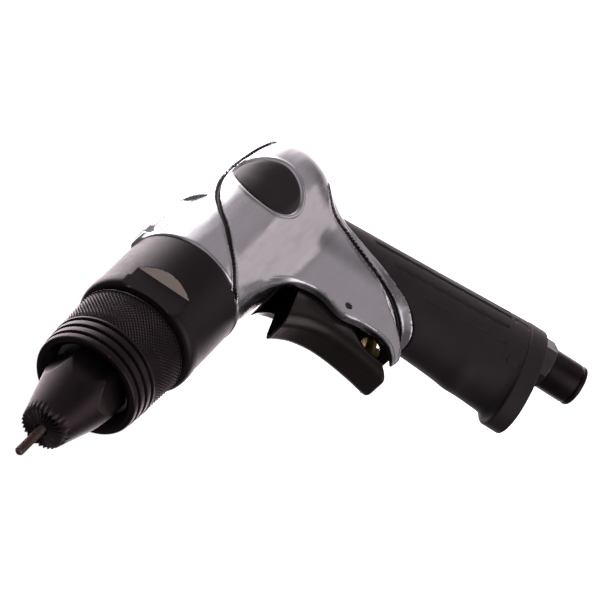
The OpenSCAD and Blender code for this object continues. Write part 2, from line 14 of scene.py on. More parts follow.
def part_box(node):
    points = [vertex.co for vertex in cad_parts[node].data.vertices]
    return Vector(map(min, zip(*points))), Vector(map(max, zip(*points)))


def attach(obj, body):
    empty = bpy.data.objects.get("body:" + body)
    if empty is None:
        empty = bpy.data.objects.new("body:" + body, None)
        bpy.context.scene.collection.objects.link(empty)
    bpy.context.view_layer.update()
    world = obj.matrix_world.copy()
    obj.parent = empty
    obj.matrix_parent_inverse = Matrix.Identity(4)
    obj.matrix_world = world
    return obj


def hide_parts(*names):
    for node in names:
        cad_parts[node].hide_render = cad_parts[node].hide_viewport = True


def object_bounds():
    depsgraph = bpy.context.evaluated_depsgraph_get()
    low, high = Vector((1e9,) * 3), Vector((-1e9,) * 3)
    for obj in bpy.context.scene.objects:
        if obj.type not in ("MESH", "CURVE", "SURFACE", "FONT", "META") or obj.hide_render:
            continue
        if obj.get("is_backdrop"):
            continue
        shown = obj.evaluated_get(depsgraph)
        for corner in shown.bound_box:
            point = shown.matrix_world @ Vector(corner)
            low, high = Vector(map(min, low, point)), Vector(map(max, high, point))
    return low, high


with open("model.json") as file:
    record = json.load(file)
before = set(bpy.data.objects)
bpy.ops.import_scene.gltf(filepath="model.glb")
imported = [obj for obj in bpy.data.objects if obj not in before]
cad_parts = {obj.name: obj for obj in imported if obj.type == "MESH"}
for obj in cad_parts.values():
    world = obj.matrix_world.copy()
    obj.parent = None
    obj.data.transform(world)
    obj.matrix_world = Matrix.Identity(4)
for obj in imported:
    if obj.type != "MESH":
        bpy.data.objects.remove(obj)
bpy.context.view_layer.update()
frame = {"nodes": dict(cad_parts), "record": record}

MM = 0.001
SMOOTH_ANGLE = math.radians(32)
mounts = {m["name"]: m for m in frame["record"]["mounts"]}


def span(node):
    """Lowest and highest corner of a CAD node, in millimetres."""
    low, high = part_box(node)
    return np.array(low) / MM, np.array(high) / MM


# ---- Frames of the barrel and the handle, from the CAD model ----

sleeve_lo, sleeve_hi = span("adjusting_sleeve")
casting_lo, casting_hi = span("motor_housing")
anvil_end = span("anvil")[1][0]
mandrel_lo, mandrel_hi = span("mandrel")
pin_lo, pin_hi = span("trigger_pin")
PIN_X, PIN_Z = (pin_lo[0] + pin_hi[0]) / 2, (pin_lo[2] + pin_hi[2]) / 2

BARREL_R = 29.0
CAST_X = casting_lo[0]
REAR_X = 211.5
DOME_X = REAR_X - 24.5
DOME_FLAT_R = 18.0
FRONT_R = 28.6

inlet = mounts["air_inlet"]
RAKE = math.atan2(inlet["axis"][0], -inlet["axis"][2])
SIN, COS = math.sin(RAKE), math.cos(RAKE)
INLET_BACK = 14.2
inlet_x, inlet_z = inlet["pos_m"][0] / MM, inlet["pos_m"][2] / MM
inlet_s = (INLET_BACK * SIN - inlet_z) / COS
HANDLE_X = inlet_x - INLET_BACK * COS - inlet_s * SIN
BASE_S = 138.5
CAP_S = 148


def from_handle(f, y, s):
    """Handle frame to row frame: f towards the front, s down the handle from the barrel axis."""
    f, y, s = np.broadcast_arrays(f, y, s)
    return np.stack([HANDLE_X - f * COS + s * SIN, y * 1.0, -f * SIN - s * COS], -1)


def to_handle(x, z):
    """Row frame to the handle frame's f and s."""
    return -((x - HANDLE_X) * COS + z * SIN), (x - HANDLE_X) * SIN - z * COS


# ---- Mesh tools ----

def add_mesh(name, points, faces, body, slot, *replaced):
    """New object from points in millimetres, riding on a CAD body and standing for CAD nodes."""
    mesh = bpy.data.meshes.new(name)
    mesh.from_pydata((np.asarray(points) * MM).tolist(), [], faces)
    work = bmesh.new()
    work.from_mesh(mesh)
    bmesh.ops.remove_doubles(work, verts=work.verts, dist=1e-6)
    bmesh.ops.recalc_face_normals(work, faces=work.faces)
    for edge in work.edges:
        edge.smooth = len(edge.link_faces) == 2 and edge.calc_face_angle(0) < SMOOTH_ANGLE
    for face in work.faces:
        face.smooth = True
    work.to_mesh(mesh)
    work.free()
    piece = bpy.data.objects.new(name, mesh)
    bpy.context.scene.collection.objects.link(piece)
    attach(piece, body)
    mesh.materials.append(finishes[slot])
    if replaced:
        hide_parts(*replaced)
    return piece


def paint(piece, material, zone):
    """Second finish on the faces of a piece whose centres are in a zone, given in millimetres."""
    piece.data.materials.append(finishes[material])
    centres = np.array([face.center for face in piece.data.polygons]) / MM
    for face, inside in zip(piece.data.polygons, zone(*centres.T)):
        if inside:
            face.material_index = len(piece.data.materials) - 1


def ring_faces(rows, count, loop):
    """Quads between equal rings of points, as flat indices, closed on itself or capped at both ends."""
    faces = []
    for i in range(rows if loop else rows - 1):
        a, b = i * count, (i + 1) % rows * count
        faces += [(a + j, a + (j + 1) % count, b + (j + 1) % count, b + j) for j in range(count)]
    if not loop:
        last = (rows - 1) * count
        faces += [tuple(range(count))[::-1], tuple(range(last, last + count))]
    return faces


def rounded(corners, arc=5):
    """Corners (u, v, radius) of an open profile, with each corner turned into an arc of points."""
    out = []
    for k, (u, v, radius) in enumerate(corners):
        here = np.array([u, v], float)
        if radius == 0 or k in (0, len(corners) - 1):
            out.append(here)
            continue
        before = np.array(corners[k - 1][:2], float) - here
        after = np.array(corners[k + 1][:2], float) - here
        reach_b, reach_a = np.linalg.norm(before), np.linalg.norm(after)
        start = here + before / reach_b * min(radius, reach_b * 0.49)
        end = here + after / reach_a * min(radius, reach_a * 0.49)
        for t in np.linspace(0, 1, arc):
            out.append((1 - t) ** 2 * start + 2 * t * (1 - t) * here + t ** 2 * end)
    return np.array(out)


def turned(x, r, angle):
    """Points on circles about the barrel axis; angle runs up from the -Y side."""
    x, r, angle = np.broadcast_arrays(x, r, angle)
    return np.stack([x * 1.0, -r * np.cos(angle), r * np.sin(angle)], -1)


def angles(count):
    return np.arange(count) * 2 * math.pi / count


def lathe(name, corners, count, body, slot, *replaced, shape=None):
    """Solid of revolution about the barrel axis; shape(x, r, angle) may change the radius around it."""
    profile = rounded(corners)
    around = angles(count)
    x = profile[:, :1]
    r = np.repeat(profile[:, 1:], count, 1)
    if shape:
        r = shape(x, r, around)
    points = turned(x, r, around).reshape(-1, 3)
    return add_mesh(name, points, ring_faces(len(profile), count, True), body, slot, *replaced)


def polygon_radius(angle, across_flats, sides, turn):
    """Radius of a regular polygon seen from its centre."""
    step = 2 * math.pi / sides
    return across_flats / 2 / np.cos((angle - turn + step / 2) % step - step / 2)


def smooth_min(a, b, k):
    h = np.clip(0.5 + 0.5 * (b - a) / k, 0, 1)
    return b + (a - b) * h - k * h * (1 - h)


def smooth_max(a, b, k):
    return -smooth_min(-a, -b, k)


def curve(points, per=8, closed=False):
    """Catmull-Rom curve through the points."""
    p = np.asarray(points, float)
    n = len(p)
    out = []
    for i in range(n if closed else n - 1):
        if closed:
            a, b, c, d = (p[(i + k) % n] for k in (-1, 0, 1, 2))
        else:
            a, b, c, d = (p[min(max(i + k, 0), n - 1)] for k in (-1, 0, 1, 2))
        for t in np.arange(per) / per:
            out.append(0.5 * (2 * b + (c - a) * t + (2 * a - 5 * b + 4 * c - d) * t ** 2
                              + (3 * b - a - 3 * c + d) * t ** 3))
    if not closed:
        out.append(p[-1])
    return np.array(out)


def path_distance(points, path):
    """Distance from each point to a polyline."""
    best = np.full(len(points), 1e9)
    for a, b in zip(path[:-1], path[1:]):
        edge = b - a
        t = np.clip((points - a) @ edge / max(edge @ edge, 1e-12), 0, 1)
        best = np.minimum(best, ((points - a - t[:, None] * edge) ** 2).sum(1))
    return np.sqrt(best)


def outline_table(points, margin=14.0, step=0.4):
    """Signed distance to a closed outline, negative inside, tabled once and read back by interpolation."""
    ring = np.asarray(points, float)
    low = ring.min(0) - margin
    count = np.ceil((ring.max(0) + margin - low) / step).astype(int) + 1
    u, v = np.meshgrid(*(low[k] + step * np.arange(count[k]) for k in (0, 1)), indexing="ij")
    grid = np.stack([u.ravel(), v.ravel()], 1)
    distance = path_distance(grid, np.vstack([ring, ring[:1]]))
    inside = np.zeros(len(grid), bool)
    for a, b in zip(ring, np.roll(ring, -1, 0)):
        crosses = (a[1] > grid[:, 1]) != (b[1] > grid[:, 1])
        with np.errstate(divide="ignore", invalid="ignore"):
            reach = (b[0] - a[0]) * (grid[:, 1] - a[1]) / (b[1] - a[1]) + a[0]
        inside ^= crosses & (grid[:, 0] < reach)
    table = np.where(inside, -distance, distance).reshape(u.shape)

    def look_up(p, q):
        i = np.clip((p - low[0]) / step, 0, count[0] - 1.001)
        j = np.clip((q - low[1]) / step, 0, count[1] - 1.001)
        i0, j0 = i.astype(int), j.astype(int)
        fi, fj = i - i0, j - j0
        return ((table[i0, j0] * (1 - fi) + table[i0 + 1, j0] * fi) * (1 - fj)
                + (table[i0, j0 + 1] * (1 - fi) + table[i0 + 1, j0 + 1] * fi) * fj)
    return look_up


def slab(outline, across, half, radius):
    """Outline extruded to plus and minus half, with its edges rounded."""
    u = outline + radius
    v = across - half + radius
    return np.hypot(np.maximum(u, 0), np.maximum(v, 0)) + np.minimum(np.maximum(u, v), 0) - radius


def slope(field, p, reach=0.05):
    """Gradient of a field at points."""
    out = np.empty_like(p)
    for k in range(3):
        move = np.zeros(3)
        move[k] = reach
        out[:, k] = (field(*(p + move).T) - field(*(p - move).T)) / (2 * reach)
    return out


def surface_net(field, low, high, step, relax=3):
    """Closed quad mesh of field = 0 in a box: a vertex for each cell that the surface crosses."""
    grid = [np.arange(a - step, b + 2 * step, step) for a, b in zip(low, high)]
    inside = field(*np.meshgrid(*grid, indexing="ij", sparse=True)) < 0
    total = sum(inside[tuple(slice(o, o - 1 or None) for o in corner)].astype(np.int8)
                for corner in np.ndindex(2, 2, 2))
    active = (total > 0) & (total < 8)
    index = np.full(active.shape, -1)
    index[active] = np.arange(active.sum())
    cells = np.argwhere(active)
    p = np.stack([grid[k][cells[:, k]] + step / 2 for k in range(3)], 1)
    quads = []
    for k in range(3):
        u, v = (k + 1) % 3, (k + 2) % 3
        low_side = inside[tuple(slice(0, -1) if a == k else slice(None) for a in range(3))]
        high_side = inside[tuple(slice(1, None) if a == k else slice(None) for a in range(3))]
        edges = np.argwhere(low_side != high_side)
        flip = low_side[tuple(edges.T)]
        corners = []
        for du, dv in ((-1, -1), (0, -1), (0, 0), (-1, 0)):
            cell = edges.copy()
            cell[:, u] += du
            cell[:, v] += dv
            corners.append(index[tuple(cell.T)])
        quad = np.stack(corners, 1)
        quad[~flip] = quad[~flip][:, ::-1]
        quads.append(quad)
    quads = np.vstack(quads)
    ends = np.vstack([quads[:, [k, (k + 1) % 4]] for k in range(4)])
    weight = np.bincount(ends[:, 0], minlength=len(p)) + np.bincount(ends[:, 1], minlength=len(p))
    for turn in range(relax + 1):
        if turn:
            mean = np.stack([np.bincount(ends[:, 0], p[ends[:, 1], k], len(p))
                             + np.bincount(ends[:, 1], p[ends[:, 0], k], len(p)) for k in range(3)], 1)
            p = 0.4 * p + 0.6 * mean / weight[:, None]
        for _ in range(3 if turn in (0, relax) else 1):
            g = slope(field, p)
            shift = field(*p.T) / np.maximum((g ** 2).sum(1), 0.2)
            p = p - np.clip(shift, -step, step)[:, None] * g
    return p, quads


def unit(v):
    return v / np.maximum(np.linalg.norm(v, axis=1), 1e-9)[:, None]


def dent(distance, width, depth):
    """Height change of a rounded groove."""
    return -depth * np.clip(1 - (distance / (width / 2)) ** 2, 0, 1) ** 0.8


# ---- Materials ----

# The frame's own materials have the plain slot names, so each finish is kept by its slot name here
finishes = {}


def new_material(name, color, rough, metal=0.0, grain=400.0, tint=0.25, rough_spread=0.08, bump=0.05,
                 stretch=(1, 1, 1), specular=0.5, wear_and_glint=0.0, wear_and_glint_color=(0.5, 0.5, 0.5), wave=0.0):
    """Procedural finish: grain and blotches in the colour, roughness and relief.

    Lighter raised edges stand partly for edge wear and partly for a painted highlight, and wave adds the slow
    unevenness of a hand-polished surface.
    """
    mat = finishes[name] = bpy.data.materials.new("finish_" + name)
    mat.use_nodes = True
    nodes, links = mat.node_tree.nodes, mat.node_tree.links
    shader = nodes["Principled BSDF"]
    shader.inputs["Metallic"].default_value = metal
    shader.inputs["Specular IOR Level"].default_value = specular
    place = nodes.new("ShaderNodeTexCoord")
    mapping = nodes.new("ShaderNodeMapping")
    mapping.inputs["Scale"].default_value = stretch
    links.new(place.outputs["Object"], mapping.inputs["Vector"])

    def noise(scale, detail):
        node = nodes.new("ShaderNodeTexNoise")
        node.inputs["Scale"].default_value = scale
        node.inputs["Detail"].default_value = detail
        links.new(mapping.outputs["Vector"], node.inputs["Vector"])
        return node.outputs["Fac"]

    def remap(source, low, high, start=0.3, end=0.7):
        node = nodes.new("ShaderNodeMapRange")
        for key, value in zip(("From Min", "From Max", "To Min", "To Max"), (start, end, low, high)):
            node.inputs[key].default_value = value
        links.new(source, node.inputs["Value"])
        return node.outputs["Result"]

    def blend(factor, a, b):
        node = nodes.new("ShaderNodeMix")
        node.data_type = "RGBA"
        links.new(factor, node.inputs["Factor"])
        for socket, value in ((node.inputs[6], a), (node.inputs[7], b)):
            if isinstance(value, tuple):
                socket.default_value = (*value, 1)
            else:
                links.new(value, socket)
        return node.outputs[2]

    fine, broad = noise(grain, 6), noise(grain / 14, 3)
    dark = tuple(c * (1 - tint) for c in color)
    light = tuple(min(1, c * (1 + tint)) for c in color)
    tone = blend(remap(broad, 0, 1), dark, light)
    # Raised edges lightened: partly edge wear, partly a painted highlight on edges and crests.
    if wear_and_glint:
        edge = nodes.new("ShaderNodeNewGeometry").outputs["Pointiness"]
        tone = blend(remap(edge, 0, wear_and_glint, 0.52, 0.6), tone, wear_and_glint_color)
    links.new(tone, shader.inputs["Base Color"])
    mixed = nodes.new("ShaderNodeMath")
    mixed.operation = "ADD"
    links.new(remap(fine, rough - rough_spread / 2, rough + rough_spread / 2), mixed.inputs[0])
    links.new(remap(broad, -rough_spread / 2, rough_spread / 2), mixed.inputs[1])
    links.new(mixed.outputs[0], shader.inputs["Roughness"])
    relief = nodes.new("ShaderNodeBump")
    relief.inputs["Strength"].default_value = bump
    relief.inputs["Distance"].default_value = 0.0004
    links.new(fine, relief.inputs["Height"])
    if wave:
        swell = nodes.new("ShaderNodeBump")
        swell.inputs["Strength"].default_value = wave
        swell.inputs["Distance"].default_value = 0.004
        links.new(broad, swell.inputs["Height"])
        links.new(swell.outputs["Normal"], relief.inputs["Normal"])
    links.new(relief.outputs["Normal"], shader.inputs["Normal"])


new_material("mandrel_steel", (0.20, 0.16, 0.14), 0.42, 0.9, 900, 0.3, 0.15, 0.12)
# Lighter raised edges: partly edge wear, partly a painted highlight on knurl, teeth and groove crests.
new_material("black_oxide_steel", (0.037, 0.031, 0.033), 0.38, 0.9, 700, 0.3, 0.1, 0.04,
             wear_and_glint=0.5, wear_and_glint_color=(0.12, 0.10, 0.10))
new_material("black_housing", (0.019, 0.016, 0.0185), 0.4, 0.25, 500, 0.2, 0.08, 0.02, specular=0.3)
new_material("cast_aluminium", (0.71, 0.765, 0.80), 0.24, 1.0, 420, 0.05, 0.1, 0.03,
             stretch=(0.35, 1, 1), wave=0.6)
new_material("badge_plate", (0.011, 0.0105, 0.0115), 0.25, 0.0, 300, 0.1, 0.04, 0.01)
new_material("black_grip", (0.023, 0.0205, 0.0225), 0.6, 0.0, 900, 0.3, 0.1, 0.06)
new_material("black_lever", (0.0146, 0.0115, 0.0102), 0.28, 0.0, 700, 0.3, 0.08, 0.04)
# Matte black laid as painted shade inside the trigger cavity and the hollow lever.
new_material("recess_black", (0.012, 0.008, 0.007), 0.85, 0.0, 700, 0.3, 0.1, 0.04, specular=0.1)
new_material("milled_steel", (0.55, 0.51, 0.46), 0.45, 0.7, 700, 0.15, 0.1, 0.06)
# Dark steel, also laid on the casting's groove faces as painted shade.
new_material("dark_steel", (0.08, 0.077, 0.08), 0.4, 0.9, 900, 0.25, 0.12, 0.06)
new_material("gear_steel", (0.35, 0.35, 0.36), 0.38, 0.9, 800, 0.15, 0.1, 0.05)
new_material("bright_steel", (0.66, 0.66, 0.68), 0.16, 1.0, 900, 0.1, 0.08, 0.03)
new_material("plate_alloy", (0.6, 0.6, 0.62), 0.35, 0.9, 500, 0.1, 0.12, 0.05)
new_material("bronze", (0.53, 0.34, 0.15), 0.33, 0.9, 900, 0.25, 0.12, 0.08)
new_material("valve_brass", (0.5, 0.37, 0.15), 0.34, 0.9, 900, 0.15, 0.1, 0.04)
new_material("seal_rubber", (0.02, 0.02, 0.02), 0.75, 0.0, 900, 0.2, 0.1, 0.08)
new_material("vane_laminate", (0.27, 0.155, 0.065), 0.6, 0.0, 600, 0.35, 0.1, 0.1, stretch=(0.2, 1, 3))
new_material("silencer_felt", (0.53, 0.5, 0.42), 0.92, 0.0, 1500, 0.4, 0.1, 0.5)

for entry in frame["record"]["subparts"]:
    node_object = frame["nodes"][entry["node"]]
    node_object.data.materials.clear()
    node_object.data.materials.append(finishes[entry["material_slot"]])

# ---- Nose ----

MANDREL_R = 2.0
THREAD_PITCH, THREAD_DEPTH = 0.7, 0.43
DRIVE_HEXAGON = 6.9


def mandrel():
    """Rod with a rolled M4 thread along the part that stands out, and its drive hexagon at the back."""
    count = 40
    around = angles(count)
    tip, head = mandrel_lo[0], mandrel_hi[0] - 12
    thread_end = head - 10
    x = np.concatenate([[tip + 0.02], np.arange(tip + 0.1, thread_end, THREAD_PITCH / 10),
                        [thread_end + 0.5, head - 0.01, head, mandrel_hi[0] - 0.4, mandrel_hi[0]]])
    phase = (x[:, None] / THREAD_PITCH + around / (2 * math.pi)) % 1
    ridge = np.clip(np.abs(phase - 0.5) * 2.6 - 0.25, 0, 1)
    r = MANDREL_R - THREAD_DEPTH * ridge
    r = np.minimum(r, MANDREL_R - 0.75 + (x[:, None] - tip) * 0.9)
    plain = (x > thread_end)[:, None]
    r = np.where(plain, MANDREL_R - 0.25, r)
    hexagon = polygon_radius(around, DRIVE_HEXAGON, 6, 0) - np.where(x > mandrel_hi[0] - 0.1, 0.4, 0)[:, None]
    r = np.where((x >= head)[:, None], hexagon, r)
    points = turned(x[:, None], r, around).reshape(-1, 3)
    add_mesh("threaded_mandrel", points, ring_faces(len(x), count, False), "spindle",
             "mandrel_steel", "mandrel")


def anvil():
    """Serrated cone that runs out into a hexagon."""
    teeth = 28
    per_tooth = 12
    count = teeth * per_tooth
    around = angles(count)
    face_r = 10.0
    tooth_depth = 1.25
    cone = math.tan(math.radians(15))
    shank_x = 40.0
    wave = np.abs((around * teeth / (2 * math.pi)) % 1 - 0.5) * 2
    corner_r = 17.9
    rows = []
    for r in np.linspace(3.0, face_r - 0.25, 9):
        depth = tooth_depth * (r / face_r) ** 1.3
        rows.append(turned(depth * (1 - wave), r, around))
    for x in [0.3, 0.8, 1.3, 1.8, 2.3, 2.8, 3.3, 3.8, 4.4, 5.2]:
        cut = np.clip(1 - x / 5.0, 0, 1) * 1.15
        start = np.maximum(x, tooth_depth * (1 - wave))
        rows.append(turned(start, face_r + start * cone - cut * (1 - wave), around))
    across_flats = 31.5
    hexagon = np.minimum(polygon_radius(around, across_flats, 6, math.radians(90 - 15)), corner_r)
    for x in np.linspace(6, 31, 60):
        rows.append(turned(x, np.minimum(face_r + x * cone, hexagon), around))
    for x, r in [(shank_x - 0.5, hexagon), (shank_x, hexagon - 0.5), (shank_x, 11.0),
                 (anvil_end, 11.0), (anvil_end, 7.5), (18.0, 7.5), (18.0, 2.2), (1.5, 2.2), (0.9, 2.7)]:
        rows.append(turned(x, r, around))
    points = np.array(rows).reshape(-1, 3)
    add_mesh("serrated_anvil", points, ring_faces(len(rows), count, True), "anvil",
             "black_oxide_steel", "anvil")


def sleeve():
    """Adjusting sleeve: bevelled mouth, three grooves and a diamond knurl."""
    diamonds = 88
    samples = 6
    count = diamonds * samples
    x0, x1 = sleeve_lo[0], sleeve_hi[0]
    r0, r1, bore_r, mouth_r = 24.9, 27.1, 20.0, 22.3
    knurl_depth = 0.8
    knurl = (x0 + 15.4, x1 - 1.4)
    pitch = 2 * math.pi * 26.4 / diamonds
    rings = int((knurl[1] - knurl[0]) / pitch * samples)

    def wall(x):
        return r0 + (r1 - r0) * (x - x0) / (x1 - x0)

    corners = [(x0 + 2.2, bore_r, 0), (x0 + 0.1, mouth_r, 0.3), (x0, 24.2, 0.8),
               (x0 + 0.7, wall(x0 + 0.7), 0.5)]
    for place in (4.1, 8.8, 13.4):
        x = x0 + place
        corners += [(x - 1.0, wall(x) - 0.05, 0.3), (x - 0.15, wall(x) - 1.25, 0.2),
                    (x + 0.15, wall(x) - 1.25, 0.2), (x + 0.75, wall(x) + 0.3, 0.15)]
    corners += [(knurl[0] - 0.5, wall(knurl[0]) + 0.15, 0.2)]
    corners += [(x, wall(x) + 0.1, 0) for x in np.linspace(knurl[0], knurl[1], rings + 1)]
    corners += [(x1 - 0.9, r1, 0.2), (x1 - 0.1, r1 - 0.5, 0.3), (x1, r1 - 1.0, 0.3), (x1, 23.4, 0.2),
                (x1 - 14, 23.4, 0), (x1 - 15, bore_r, 0), (x0 + 6, bore_r, 0)]

    def knurled(x, r, around):
        u = around * diamonds / (2 * math.pi)
        v = (x - knurl[0]) / pitch
        ridge = np.maximum(np.abs((u + v) % 1 - 0.5), np.abs((u - v) % 1 - 0.5)) * 2
        zone = (x > knurl[0] - 1e-6) & (x < knurl[1] + 1e-6) & (r > 24)
        return np.where(zone, r - knurl_depth * ridge, r)

    lathe("knurled_sleeve", corners, count, "sleeve", "black_oxide_steel", "adjusting_sleeve",
          shape=knurled)


def front_housing():
    """Black gearbox housing: rounded ring, two wrench flats and a long plain barrel."""
    ring_x, flat_x, wall_x, rise_x, end_x = 72.5, 80.0, 86.0, 90.4, CAST_X
    ring_r, neck_r, motor_r, flat_half = BARREL_R + 0.1, 23, 25.2, 25.2
    flat_turn = math.radians(16.6)
    corners = [(56, 20.1, 0), (56, neck_r, 0.6), (ring_x, neck_r, 0.3), (ring_x, ring_r, 3.9),
               (flat_x - 0.02, ring_r, 0.5), (flat_x, FRONT_R, 0.0), (flat_x + 0.3, FRONT_R, 0)]
    corners += [(x, FRONT_R, 0) for x in np.linspace(wall_x, rise_x, 14)]
    corners += [(end_x - 1.2, FRONT_R, 0), (end_x - 0.5, FRONT_R - 0.5, 0.4), (end_x, FRONT_R - 0.6, 0),
                (end_x, 26.6, 0), (end_x + 10, 26.6, 0), (end_x + 10, motor_r, 0), (90, motor_r, 0),
                (90, 16, 0), (76, 16, 0), (76, 10, 0), (70, 10, 0), (70, 20.1, 0)]

    def flats(x, r, around):
        half = flat_half + np.clip(x - wall_x, 0, 9) * 0.85
        flat = half / np.maximum(np.abs(np.cos(around - flat_turn)), 0.1)
        zone = (x > ring_x + 0.3) & (x <= rise_x + 1e-6) & (r > 24.5)
        return np.where(zone, np.minimum(r, flat), r)

    piece = lathe("gearbox_housing", corners, 360, "housing", "black_housing", "front_housing", shape=flats)

    def end_wall(x, y, z):
        r = np.hypot(y, z)
        return (x > wall_x) & (x < rise_x) & (r > 24) & (r < FRONT_R - 0.08)

    paint(piece, "milled_steel", end_wall)


# ---- Casting ----

# Edge of the casting over the grip, as (f, s)
SEAM = [(-30, 24), (-22, 26.5), (-15.5, 30), (-9, 34.5), (-5.4, 39.5), (0.1, 49.9), (4.3, 59.7),
        (8.5, 68.8), (12.1, 76), (17.2, 82.5), (22, 87), (30, 91)]
# Side outlines of the trigger cheeks and of the space between them, as (x, z)
CHEEK = [(128, -14), (133.5, -21.5), (139, -25), (146, -28.8), (151.5, -33), (156, -39.5), (158.5, -46.5),
         (158.4, -53), (158.6, -59.5), (162.4, -67), (166, -76.6), (166.3, -83), (163.5, -87.4), (160, -90.5),
         (165, -91.5), (172, -88), (180, -78), (188, -62), (194, -40), (196, -20), (170, -6)]
CAVITY = [(131, -30.5), (164, -30.5), (169.5, -50), (171.5, -78), (170.2, -85), (170.2, -96), (140, -96)]
CAVITY_HALF_W = 11.8
FORWARD_S, REVERSE_S, VALVE_BORE_R = 33.0, 72.0, 5
LUG_X, LUG_R, LUG_TOP, SCREW_R = 119.5, 6.5, 30.2, 3
# Recess in the upper right of the barrel, turned about the barrel axis
RECESS_X, RECESS_HALF_L, RECESS_HALF_W, RECESS_FLOOR = 133, 15.5, 8.4, 27.3
RECESS_TURN = math.radians(66)
MOTOR_BORE_R, MOUTH_BORE_R, REAR_BORE_R = 25.8, 26.6, 18

seam_curve = curve(SEAM, 6)
cheek_outline = outline_table(curve(CHEEK, 5, closed=True))
cavity_outline = outline_table(CAVITY)
BADGE = [(166.6, 19.9), (174.5, 21.4), (181.3, 18.3), (186, 12), (187.3, 4.4), (183.6, -5),
         (176.2, -10.8), (167.5, -9.8), (160.3, -2.6), (159.4, 9.3)]
badge_ring = curve(BADGE, 8, closed=True)
badge_outline = outline_table(badge_ring, 8, 0.3)


def seam_s(f):
    return np.interp(f, seam_curve[:, 0], seam_curve[:, 1])


def handle_size(s):
    """Half depth and half width of the grip at distance s."""
    return 27.5 - 0.08 * (BASE_S - s), 19.5 - 0.02 * (BASE_S - s)


def barrel_distance(x, r):
    """Signed distance to the barrel, with its domed rear end."""
    dome = np.hypot(np.maximum(x - DOME_X, 0) / (REAR_X - DOME_X),
                    np.maximum(r - DOME_FLAT_R, 0) / (BARREL_R - DOME_FLAT_R))
    return (dome - 1) * (BARREL_R - DOME_FLAT_R)


def casting_field(x, y, z):
    """Signed distance, near enough, to the skin of the whole casting."""
    r = np.hypot(y, z)
    f, s = to_handle(x, z)
    depth, width = handle_size(np.clip(s, 0, 110))
    barrel = smooth_max(barrel_distance(x, r), CAST_X - x, 1.6)
    neck = (np.hypot(f / (depth + 0.6), y / (width + 0.5)) - 1) * width
    narrowing = np.clip((s - 60) / 30, 0, 1)
    cheek_half = 16.2 - 2.6 * narrowing
    cheek = slab(cheek_outline(x, z), np.abs(y), cheek_half, 0.9)
    handle = smooth_min(neck, cheek, 4)
    body = smooth_min(barrel, np.maximum(handle, 3 - s), 11)
    body = smooth_max(body, s - seam_s(f), 1.4)
    lug = smooth_max(smooth_max(np.hypot(x - LUG_X, y) - LUG_R, z - LUG_TOP, 1.0), 20 - z, 1)
    body = smooth_min(body, lug, 2.5)
    out = z * math.sin(RECESS_TURN) - y * math.cos(RECESS_TURN)
    side = np.abs(z * math.cos(RECESS_TURN) + y * math.sin(RECESS_TURN)) - RECESS_HALF_W
    recess = np.maximum(np.maximum(RECESS_FLOOR - out, side), np.abs(x - RECESS_X) - RECESS_HALF_L)
    body = smooth_max(body, -recess, 0.4)
    cavity = slab(cavity_outline(x, z), np.abs(y), CAVITY_HALF_W - 0.9 * narrowing, 1.0)
    cavity = np.maximum(cavity, s - seam_s(f) + 1.6)
    body = smooth_max(body, -cavity, 0.8)
    bore = np.minimum(np.maximum(r - MOTOR_BORE_R, x - 182), np.maximum(r - MOUTH_BORE_R, x - 125.6))
    bore = np.minimum(bore, np.maximum(r - REAR_BORE_R, x - 205))
    body = np.maximum(body, -bore)
    for valve_s in (FORWARD_S, REVERSE_S):
        body = np.maximum(body, -np.maximum(np.hypot(s - valve_s, y) - VALVE_BORE_R, -12.3 - f))
    screw = np.maximum(np.hypot(x - LUG_X, y) - SCREW_R, 20 - z)
    pin = np.hypot(x - PIN_X, z - PIN_Z) - 1.6
    return np.maximum(np.maximum(body, -screw), -pin)


def on_barrel(x, degrees):
    """Point on the outside of the barrel or its rounded end."""
    reach = np.sqrt(max(0, 1 - (max(x - DOME_X, 0) / (REAR_X - DOME_X)) ** 2))
    return turned(x, DOME_FLAT_R + (BARREL_R - DOME_FLAT_R) * reach, math.radians(degrees))


# Groove over the barrel as (x, degrees), which comes down the neck as (x, y, z) beside the grip
BARREL_GROOVE = [(112, -48), (115, -31), (120.5, -17), (126.6, -2), (134, 13), (140, 26), (149, 40),
                 (161, 50.5), (172, 52.4), (181.4, 49.7), (189.7, 45.8), (197, 42), (204, 39.5), (208, 36)]
NECK_GROOVE = [(210.3, -19.5, 8), (210.8, -20.5, 0), (208.3, -21.8, -7), (203.6, -22.5, -13.2),
               (200.3, -22, -16.9), (196.6, -20.6, -21.7), (195.3, -18.8, -27.2), (194.8, -17.9, -33.4),
               (193, -18, -41), (191.1, -17.2, -52.6), (189.8, -15.4, -64.5), (189, -13.9, -70.7),
               (186.7, -9.9, -79.1), (185.2, -5, -84.4), (185.9, 3.9, -88.7)]
GROOVE_W, GROOVE_DEEP, GROOVE_CREST = 2.3, 1.6, 0.2
BADGE_DEEP, BADGE_LIP = 0.75, 0.3
RIM_IN, RIM_BEAD = 0.9, 0.45
SKIN_R = 26.9       # anything further from the barrel axis is the outer skin


def refine(points, quads, near):
    """Split each quad whose corners are all near a feature into four."""
    work = bmesh.new()
    verts = [work.verts.new(p) for p in points]
    for quad in quads:
        work.faces.new([verts[k] for k in quad])
    work.verts.index_update()
    chosen = [e for e in work.edges if near[e.verts[0].index] and near[e.verts[1].index]]
    bmesh.ops.subdivide_edges(work, edges=chosen, cuts=1, use_grid_fill=True)
    work.verts.index_update()
    out = np.array([v.co for v in work.verts]), [[v.index for v in f.verts] for f in work.faces]
    work.free()
    return out


